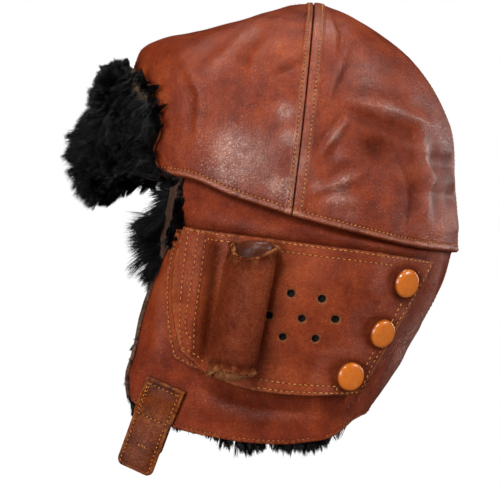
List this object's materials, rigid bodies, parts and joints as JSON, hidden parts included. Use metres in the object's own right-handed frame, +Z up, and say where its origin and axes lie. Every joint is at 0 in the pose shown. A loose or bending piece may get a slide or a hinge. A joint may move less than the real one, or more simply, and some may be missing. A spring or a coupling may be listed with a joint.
{
  "type": "flying helmet",
  "caption": "Soft leather flying helmet lined with dark fur, with a turned-up fur brow flap, snap-closed receiver pockets over the ears and short chin tabs.",
  "frame": {"origin": "middle of the wearer's head at ear level, on the plane of symmetry", "axes": "+Z up, face towards -Y, wearer's left +X"},
  "size_m": [0.2172, 0.2209, 0.2578],
  "materials": {
    "crown_leather": "worn, fine grain",
    "cover_leather": "worn, waxed",
    "tab_leather": "worn",
    "strip_leather": "dull suede",
    "core_leather": "raw edge",
    "fur": "long glossy pile",
    "felt": "felt",
    "tape": "cotton tape",
    "snap_cap": "glossy enamel",
    "brass": "dull"
  },
  "bodies": {
    "helmet": {"back_seam_tape": "tape", "chin_anchor_left": "tab_leather", "chin_anchor_right": "tab_leather", "crown_centre_tape_front": "tape", "crown_centre_tape_rear": "tape", "crown_cross_tape": "tape", "crown_front_left": "crown_leather", "crown_front_right": "crown_leather", "crown_lining": "fur", "crown_rear_left": "crown_leather", "crown_rear_right": "crown_leather", "edge_binding_left": "strip_leather", "edge_binding_right": "strip_leather", "hem_facing_left": "cover_leather", "hem_facing_right": "cover_leather", "pocket_base_left": "cover_leather", "pocket_base_right": "cover_leather", "pocket_hinge_strip_left": "cover_leather", "pocket_hinge_strip_right": "cover_leather", "receiver_ring_left": "felt", "receiver_ring_right": "felt", "side_lining_left": "fur", "side_lining_right": "fur", "side_panel_left": "crown_leather", "side_panel_right": "crown_leather", "snap_stud_left_1": "brass", "snap_stud_left_2": "brass", "snap_stud_left_3": "brass", "snap_stud_right_1": "brass", "snap_stud_right_2": "brass", "snap_stud_right_3": "brass"},
    "brow_flap": {"brow_flap_fur": "fur", "brow_flap_leather": "crown_leather"},
    "chin_tab_right": {"chin_socket_right": "brass", "chin_tab_backing_right": "tab_leather", "chin_tab_right": "tab_leather"},
    "chin_tab_left": {"chin_stud_left": "brass", "chin_tab_backing_left": "tab_leather", "chin_tab_left": "tab_leather"},
    "pocket_cover_left": {"cover_lining_left": "tape", "pocket_cover_left": "cover_leather", "roll_core_left": "core_leather", "roll_cover_left": "cover_leather", "snap_cap_left_1": "snap_cap", "snap_cap_left_2": "snap_cap", "snap_cap_left_3": "snap_cap", "snap_socket_left_1": "brass", "snap_socket_left_2": "brass", "snap_socket_left_3": "brass"},
    "pocket_cover_right": {"cover_lining_right": "tape", "pocket_cover_right": "cover_leather", "roll_core_right": "core_leather", "roll_cover_right": "cover_leather", "snap_cap_right_1": "snap_cap", "snap_cap_right_2": "snap_cap", "snap_cap_right_3": "snap_cap", "snap_socket_right_1": "brass", "snap_socket_right_2": "brass", "snap_socket_right_3": "brass"}
  },
  "joints": [
    {"name": "brow_flap_fold", "type": "hinge", "parent": "helmet", "child": "brow_flap", "pos_m": [0, -0.0791, 0.07801], "axis": [1, 0, 0], "range_deg": [0, 105]},
    {"name": "pocket_cover_left_open", "type": "hinge", "parent": "helmet", "child": "pocket_cover_left", "pos_m": [0.07512, -0.0389, 0.01231], "axis": [-0.038, -0.0935, -0.9949], "range_deg": [0, 100]},
    {"name": "pocket_cover_right_open", "type": "hinge", "parent": "helmet", "child": "pocket_cover_right", "pos_m": [-0.07512, -0.0389, 0.01231], "axis": [-0.038, 0.0935, 0.9949], "range_deg": [0, 100]},
    {"name": "chin_tab_left_swing", "type": "hinge", "parent": "helmet", "child": "chin_tab_left", "pos_m": [0.06367, -0.06378, -0.05447], "axis": [-0.3388, -0.8685, 0.3619], "range_deg": [-50, 80]},
    {"name": "chin_tab_right_swing", "type": "hinge", "parent": "helmet", "child": "chin_tab_right", "pos_m": [-0.06367, -0.06378, -0.05447], "axis": [-0.3388, 0.8685, -0.3619], "range_deg": [-50, 80]}
  ]
}
